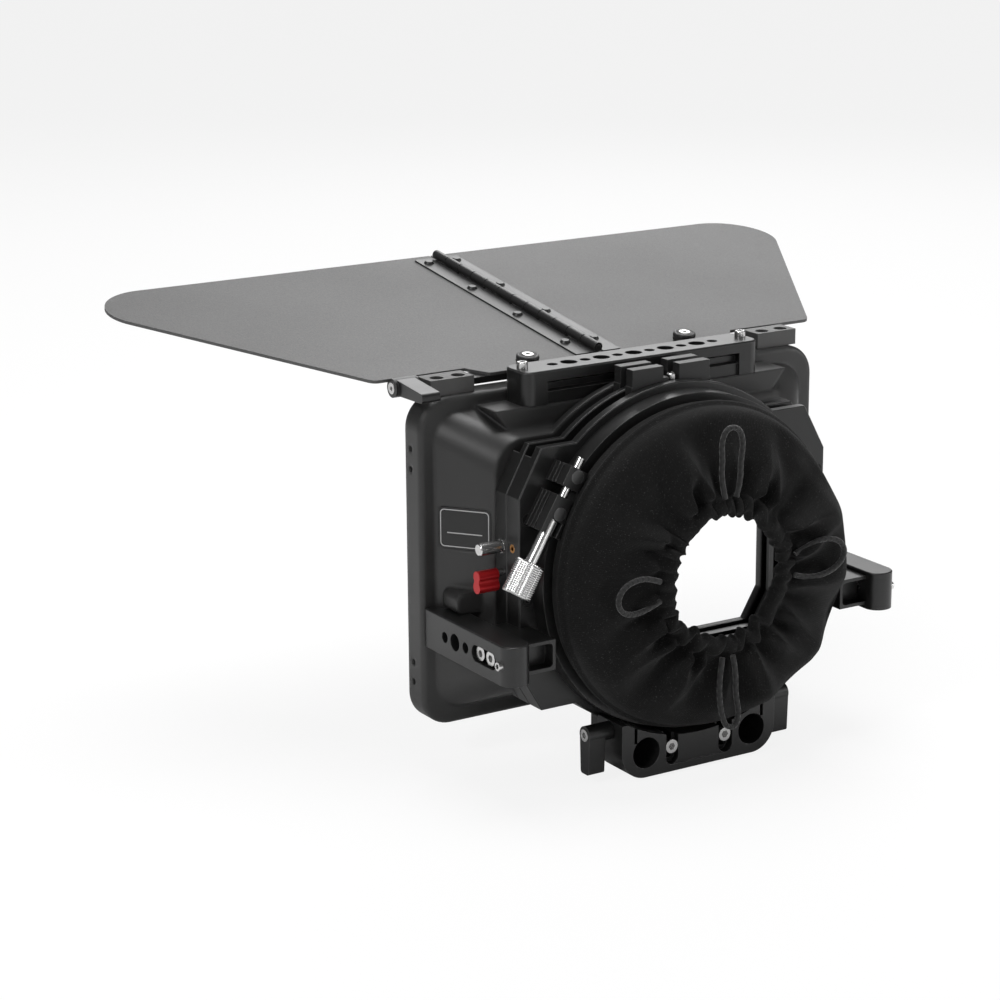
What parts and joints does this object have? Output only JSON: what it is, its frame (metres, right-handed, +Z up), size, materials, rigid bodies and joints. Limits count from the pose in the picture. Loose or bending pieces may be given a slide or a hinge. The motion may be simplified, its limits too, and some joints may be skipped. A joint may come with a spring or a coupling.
{
  "type": "rod mounted lens hood",
  "caption": "Matte box style lens hood with a folding top flag, drop-in filter stages, gathered cloth donut, accessory bars and a clamp for two support rods.",
  "frame": {"origin": "centre of the lens opening, on the optical axis, near the back of the filter stages", "axes": "+Y towards the scene, -Y towards the camera, +Z up, +X to the right seen from behind"},
  "size_m": [0.3892, 0.2602, 0.2095],
  "materials": {
    "hood_polymer": "satin black moulded polymer",
    "badge": "plain badge plate",
    "anodised_black": "black anodised, fine blasted",
    "tray_polymer": "black moulded tray",
    "donut_polymer": "black moulded ring",
    "donut_cloth": "black woven cotton",
    "elastic": "black elastic cord",
    "cord": "black braided cord",
    "flag_coating": "grey-black fine textured sheet",
    "hinge_black": "black piano hinge",
    "block_grey": "worn dark grey blocks",
    "black_screw": "black oxide screws",
    "steel": "bright stainless steel",
    "barrel_steel": "gunmetal barrels",
    "red_anodised": "red anodised knob",
    "brass": "brass threaded insert"
  },
  "bodies": {
    "rod_clamp": {"rod_clamp": "anodised_black"},
    "box": {"hood_shell": "hood_polymer", "badge_plate": "badge", "front_stage": "anodised_black", "rear_stage": "anodised_black", "stage_screws": "black_screw", "brass_inserts": "brass", "clamp_ring": "anodised_black", "clamp_barrel_upper": "barrel_steel", "clamp_barrel_lower": "barrel_steel", "donut_ring": "donut_polymer", "donut_fabric": "donut_cloth", "donut_elastic": "elastic", "pull_loop_top": "cord", "pull_loop_right": "cord", "pull_loop_bottom": "cord", "pull_loop_left": "cord", "accessory_bar": "anodised_black", "bar_screws": "steel", "flag_block_left": "block_grey", "flag_block_right": "block_grey", "block_screws": "black_screw", "side_bar_left": "anodised_black", "side_bar_right": "anodised_black", "side_arm_left": "anodised_black", "side_arm_right": "anodised_black", "side_bar_screws": "steel", "side_set_screws": "steel", "plunger_bush": "steel", "plunger_spring": "steel", "rod_bracket": "anodised_black", "height_screws": "steel"},
    "tray_front": {"filter_tray_front": "tray_polymer", "tray_screw_front": "steel"},
    "tray_rear": {"filter_tray_rear": "tray_polymer", "tray_screw_rear": "steel"},
    "clamp_screw": {"clamp_screw": "steel", "clamp_knob": "steel"},
    "flag": {"flag_carrier": "anodised_black", "flag_left": "flag_coating", "hinge_leaf_left": "hinge_black", "hinge_pin": "hinge_black", "rivets_left": "hinge_black"},
    "flag_right": {"flag_right": "flag_coating", "hinge_leaf_right": "hinge_black", "rivets_right": "hinge_black"},
    "thumbscrew_left": {"thumb_knob_left": "anodised_black", "thumb_screw_left": "steel"},
    "thumbscrew_right": {"thumb_knob_right": "anodised_black", "thumb_screw_right": "steel"},
    "flag_lever": {"flag_lever": "anodised_black", "flag_lever_screw": "steel"},
    "plunger": {"plunger_pin": "steel"},
    "lock": {"lock_shaft": "steel", "lock_knob": "red_anodised"},
    "rod_lever_left": {"rod_lever_left": "anodised_black", "rod_stud_left": "steel"},
    "rod_lever_right": {"rod_lever_right": "anodised_black", "rod_stud_right": "steel"}
  },
  "joints": [
    {"name": "height_slide", "type": "slide", "parent": "rod_clamp", "child": "box", "axis": [0, 0, 1], "range_m": [0, 0.004]},
    {"name": "tray_front_slide", "type": "slide", "parent": "box", "child": "tray_front", "axis": [0, 0, 1], "range_m": [0, 0.12]},
    {"name": "tray_rear_slide", "type": "slide", "parent": "box", "child": "tray_rear", "axis": [0, 0, 1], "range_m": [0, 0.12]},
    {"name": "clamp_turn", "type": "hinge", "parent": "box", "child": "clamp_screw", "pos_m": [-0.06886, -0.008, 0.04131], "axis": [-0.5144, 0, -0.8575], "continuous": true},
    {"name": "flag_tilt", "type": "hinge", "parent": "box", "child": "flag", "pos_m": [0, 0.0603, 0.0836], "axis": [1, 0, 0], "range_deg": [-98, 15]},
    {"name": "flag_fold", "type": "hinge", "parent": "flag", "child": "flag_right", "pos_m": [-0.0045, 0.13877, 0.10008], "axis": [0, -0.9903, -0.1392], "range_deg": [0, 160]},
    {"name": "thumbscrew_left_turn", "type": "hinge", "parent": "flag", "child": "thumbscrew_left", "pos_m": [-0.0446, 0.05988, 0.08657], "axis": [0, -0.1392, 0.9903], "continuous": true},
    {"name": "thumbscrew_right_turn", "type": "hinge", "parent": "flag_right", "child": "thumbscrew_right", "pos_m": [0.0446, 0.05988, 0.08657], "axis": [0, -0.1392, 0.9903], "continuous": true},
    {"name": "flag_lever_turn", "type": "hinge", "parent": "box", "child": "flag_lever", "pos_m": [-0.111, 0.0603, 0.0836], "axis": [1, 0, 0], "range_deg": [-90, 0]},
    {"name": "plunger_pull", "type": "slide", "parent": "box", "child": "plunger", "axis": [-1, 0, 0], "range_m": [0, 0.004], "stiffness_N_per_m": 300, "springref_m": -0.003},
    {"name": "lock_turn", "type": "hinge", "parent": "box", "child": "lock", "pos_m": [-0.09, 0.0155, 0.003], "axis": [1, 0, 0], "range_deg": [-90, 0]},
    {"name": "rod_lever_left_turn", "type": "hinge", "parent": "rod_clamp", "child": "rod_lever_left", "pos_m": [-0.05, -0.008, -0.0744], "axis": [1, 0, 0], "range_deg": [-85, 85]},
    {"name": "rod_lever_right_turn", "type": "hinge", "parent": "rod_clamp", "child": "rod_lever_right", "pos_m": [0.05, -0.008, -0.0744], "axis": [1, 0, 0], "range_deg": [-85, 85]}
  ]
}
